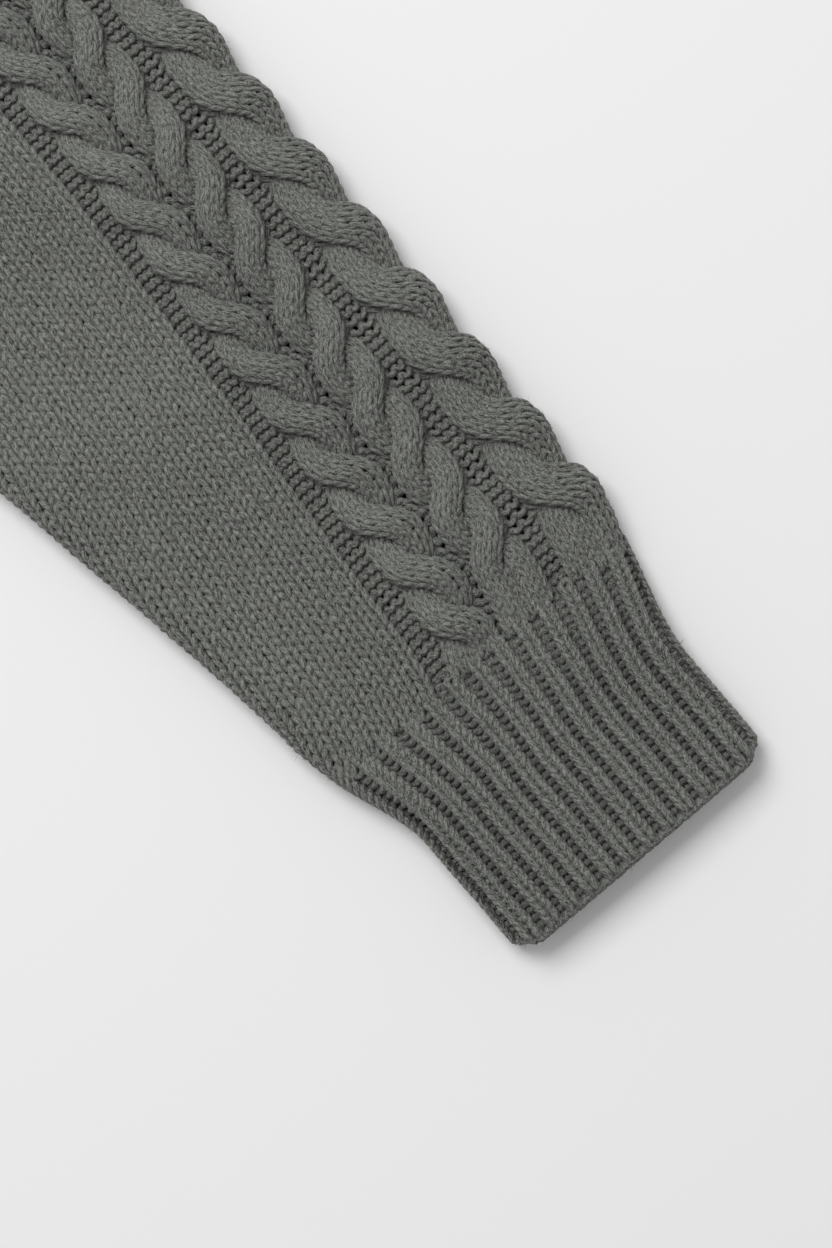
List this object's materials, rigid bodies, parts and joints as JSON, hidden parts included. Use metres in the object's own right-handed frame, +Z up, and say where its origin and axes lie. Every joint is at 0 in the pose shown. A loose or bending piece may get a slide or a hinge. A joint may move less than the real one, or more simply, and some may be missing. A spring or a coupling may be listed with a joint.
{
  "type": "cable-knit sweater sleeve",
  "caption": "Grey cable-knit wool sleeve lying flat, with cable columns between purl gutters, plain knit fields and a ribbed cuff.",
  "frame": {"origin": "middle of the sleeve's footprint, on the surface it lies on", "axes": "+X along the sleeve towards the cuff end, +Y towards the fold along the centre cable, +Z up through the front face"},
  "size_m": [0.56, 0.175, 0.0144],
  "materials": {
    "stockinette_knit": "heathered grey wool, soft and matt, plain knit",
    "cable_knit": "heathered grey wool, soft and matt, crossed cables",
    "purl_knit": "heathered grey wool, soft and matt, purl side out",
    "rib_knit": "heathered grey wool, soft and matt, one-by-one rib",
    "linking_yarn": "heathered grey wool, linked chain stitch"
  },
  "bodies": {
    "upper_sleeve": {"armhole_edge_back": "linking_yarn", "armhole_edge_crown": "linking_yarn", "armhole_edge_front": "linking_yarn", "armhole_edge_underarm": "linking_yarn", "upper_back_stockinette": "stockinette_knit", "upper_cable_1": "cable_knit", "upper_cable_2": "cable_knit", "upper_cable_3": "cable_knit", "upper_cable_4": "cable_knit", "upper_cable_5": "cable_knit", "upper_front_stockinette": "stockinette_knit", "upper_gutter_1": "purl_knit", "upper_gutter_2": "purl_knit", "upper_gutter_3": "purl_knit", "upper_gutter_4": "purl_knit", "upper_gutter_5": "purl_knit", "upper_gutter_6": "purl_knit", "upper_underarm_seam": "linking_yarn", "upper_underarm_stockinette": "stockinette_knit"},
    "forearm": {"forearm_back_stockinette": "stockinette_knit", "forearm_cable_1": "cable_knit", "forearm_cable_2": "cable_knit", "forearm_cable_3": "cable_knit", "forearm_cable_4": "cable_knit", "forearm_cable_5": "cable_knit", "forearm_front_stockinette": "stockinette_knit", "forearm_gutter_1": "purl_knit", "forearm_gutter_2": "purl_knit", "forearm_gutter_3": "purl_knit", "forearm_gutter_4": "purl_knit", "forearm_gutter_5": "purl_knit", "forearm_gutter_6": "purl_knit", "forearm_underarm_seam": "linking_yarn", "forearm_underarm_stockinette": "stockinette_knit"},
    "cuff": {"cast_on_edge_back": "rib_knit", "cast_on_edge_front": "rib_knit", "cuff_rib_back": "rib_knit", "cuff_rib_front": "rib_knit", "cuff_rib_underarm": "rib_knit", "cuff_seam": "linking_yarn"}
  },
  "joints": [
    {"name": "elbow_fold", "type": "hinge", "parent": "upper_sleeve", "child": "forearm", "pos_m": [0.02, 0, 0.0148], "axis": [0, -1, 0], "range_deg": [0, 145]},
    {"name": "cuff_fold", "type": "hinge", "parent": "forearm", "child": "cuff", "pos_m": [0.205, 0, 0.0148], "axis": [0, -1, 0], "range_deg": [0, 170]}
  ]
}
